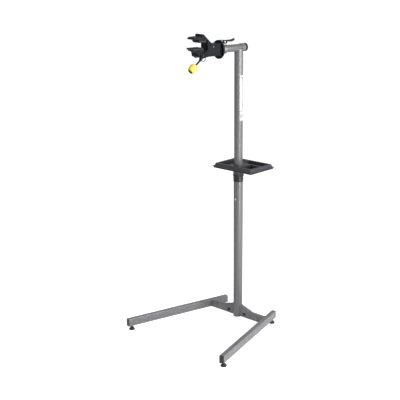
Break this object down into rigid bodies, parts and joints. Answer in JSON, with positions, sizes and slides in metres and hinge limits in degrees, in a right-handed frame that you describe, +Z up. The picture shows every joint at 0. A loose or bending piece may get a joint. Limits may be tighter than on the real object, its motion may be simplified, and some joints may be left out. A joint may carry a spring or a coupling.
{
  "type": "bicycle repair stand",
  "caption": "Free-standing bicycle repair stand with splayed legs, telescopic column, swivelling tool tray and a rotating clamp head on an arm.",
  "frame": {"origin": "centre of the footprint on the floor plane", "axes": "+Z up along the column, -Y towards the front of the legs, +X to the right seen from the front"},
  "size_m": [0.6732, 0.6306, 1.5165],
  "materials": {
    "frame_paint": "satin grey powder coat",
    "foot_rubber": "black rubber",
    "zinc_steel": "zinc plated",
    "dark_bolts": "black zinc",
    "black_plastic": "moulded black nylon",
    "tray_plastic": "textured dark grey polypropylene",
    "collar_alloy": "cast and machined",
    "head_alloy": "black painted die casting",
    "pad_rubber": "black rubber",
    "knob_yellow": "moulded yellow plastic"
  },
  "bodies": {
    "stand_base": {"left_leg": "frame_paint", "left_stub": "frame_paint", "left_wing": "frame_paint", "left_wing_bolt": "dark_bolts", "left_wing_nut": "dark_bolts", "front_left_cap": "black_plastic", "rear_left_cap": "black_plastic", "right_leg": "frame_paint", "right_stub": "frame_paint", "right_wing": "frame_paint", "right_wing_bolt": "dark_bolts", "right_wing_nut": "dark_bolts", "front_right_cap": "black_plastic", "rear_right_cap": "black_plastic", "lower_column": "frame_paint", "column_plug": "black_plastic", "guide_screw": "zinc_steel", "collar_ferrule": "black_plastic"},
    "front_left_foot": {"front_left_foot_pad": "foot_rubber", "front_left_foot_stud": "zinc_steel"},
    "front_right_foot": {"front_right_foot_pad": "foot_rubber", "front_right_foot_stud": "zinc_steel"},
    "rear_left_foot": {"rear_left_foot_pad": "foot_rubber", "rear_left_foot_stud": "zinc_steel"},
    "rear_right_foot": {"rear_right_foot_pad": "foot_rubber", "rear_right_foot_stud": "zinc_steel"},
    "twist_collar": {"collar_nut": "black_plastic"},
    "column_collet": {"collet": "black_plastic"},
    "mast": {"upper_column": "frame_paint", "arm_tube": "frame_paint", "arm_sleeve": "frame_paint", "arm_rear_cap": "black_plastic", "clamp_collar": "collar_alloy", "lock_bolt": "zinc_steel"},
    "tray": {"tool_tray": "tray_plastic"},
    "rotation_lock": {"lock_lever": "black_plastic"},
    "clamp_head": {"head_spindle": "zinc_steel", "flange_disc": "head_alloy", "head_body": "head_alloy", "head_screw": "zinc_steel", "upper_pad": "pad_rubber", "hinge_pin": "zinc_steel", "cam_pin": "zinc_steel"},
    "jaw": {"lower_jaw": "head_alloy", "lower_pad": "pad_rubber"},
    "clamp_handle": {"cam_lever": "black_plastic"},
    "handle_knob": {"lever_knob": "knob_yellow", "knob_cap": "black_plastic"},
    "ring": {"pull_ring": "dark_bolts"}
  },
  "joints": [
    {"name": "front_left_foot_spin", "type": "hinge", "parent": "stand_base", "child": "front_left_foot", "pos_m": [-0.31882, -0.289, 0], "axis": [0, 0, 1], "continuous": true},
    {"name": "front_right_foot_spin", "type": "hinge", "parent": "stand_base", "child": "front_right_foot", "pos_m": [0.31882, -0.289, 0], "axis": [0, 0, 1], "continuous": true},
    {"name": "rear_left_foot_spin", "type": "hinge", "parent": "stand_base", "child": "rear_left_foot", "pos_m": [-0.17181, 0.25964, 0], "axis": [0, 0, 1], "continuous": true},
    {"name": "rear_right_foot_spin", "type": "hinge", "parent": "stand_base", "child": "rear_right_foot", "pos_m": [0.17181, 0.25964, 0], "axis": [0, 0, 1], "continuous": true},
    {"name": "collar_twist", "type": "hinge", "parent": "stand_base", "child": "twist_collar", "pos_m": [0, 0.1843, 0.79], "axis": [0, 0, 1], "range_deg": [0, 90]},
    {"name": "column_swivel", "type": "hinge", "parent": "stand_base", "child": "column_collet", "pos_m": [0, 0.1843, 0.78], "axis": [0, 0, 1], "continuous": true},
    {"name": "column_height", "type": "slide", "parent": "column_collet", "child": "mast", "axis": [0, 0, 1], "range_m": [-0.35, 0.17]},
    {"name": "tray_swivel", "type": "hinge", "parent": "stand_base", "child": "tray", "pos_m": [0, 0.1843, 0.83], "axis": [0, 0, 1], "continuous": true},
    {"name": "rotation_lock_lever", "type": "hinge", "parent": "mast", "child": "rotation_lock", "pos_m": [0.00083, 0.07956, 1.472], "axis": [0, 0, -1], "range_deg": [0, 100]},
    {"name": "head_rotation", "type": "hinge", "parent": "mast", "child": "clamp_head", "pos_m": [-0.02188, 0.06021, 1.4355], "axis": [-0.1736, -0.9848, 0], "continuous": true},
    {"name": "handle_swing", "type": "hinge", "parent": "clamp_head", "child": "clamp_handle", "pos_m": [-0.03959, -0.04024, 1.4135], "axis": [0.9848, -0.1736, 0], "range_deg": [-8, 75]},
    {"name": "jaw_pivot", "type": "hinge", "parent": "clamp_head", "child": "jaw", "pos_m": [-0.04237, -0.05599, 1.4155], "axis": [0.9848, -0.1736, 0], "range_deg": [-2.6, 22.6]},
    {"name": "knob_spin", "type": "hinge", "parent": "clamp_handle", "child": "handle_knob", "pos_m": [-0.04882, -0.09259, 1.35541], "axis": [-0.1334, -0.7566, -0.6401], "continuous": true},
    {"name": "ring_swing", "type": "hinge", "parent": "clamp_head", "child": "ring", "pos_m": [-0.01086, -0.06155, 1.4155], "axis": [-0.1736, -0.9848, 0], "range_deg": [-4, 85]}
  ],
  "couplings": [
    {"joint": "jaw_pivot", "follows": "handle_swing", "ratio": 0.3}
  ]
}
